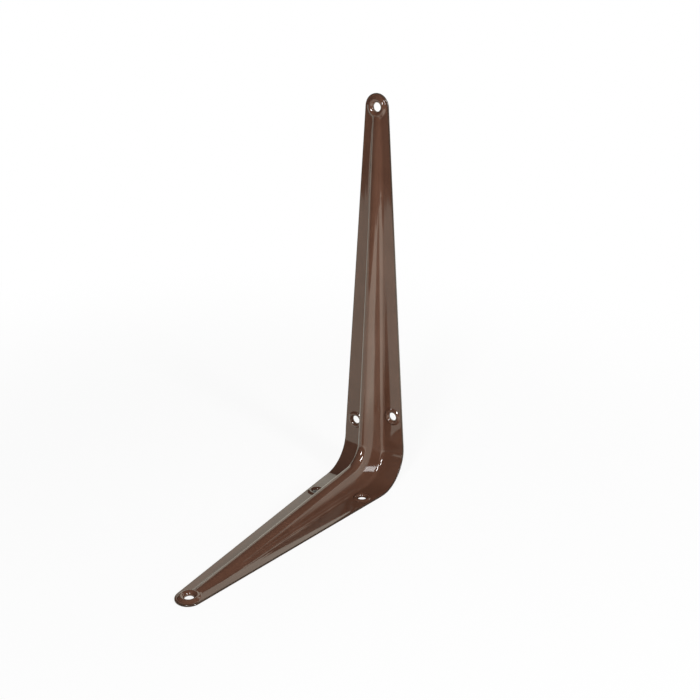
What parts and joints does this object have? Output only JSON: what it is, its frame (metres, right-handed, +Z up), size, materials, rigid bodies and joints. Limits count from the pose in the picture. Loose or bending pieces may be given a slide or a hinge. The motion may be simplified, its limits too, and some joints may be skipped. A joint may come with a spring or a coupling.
{
  "type": "shelf bracket",
  "caption": "Pressed-steel shelf bracket in dark enamel: two tapered arms at a right angle, a hollow rib round the inside of the corner and dished screw holes in raised beads.",
  "frame": {"origin": "on the plane of the shelf face, under the middle of the part's box", "axes": "+Z up the long wall arm, +Y out through the wall face, so the short shelf arm points along -Y; +X across the arms"},
  "size_m": [0.037, 0.15, 0.2],
  "materials": {
    "enamel": "gloss"
  },
  "bodies": {
    "root": {"bracket": "enamel"}
  },
  "joints": []
}
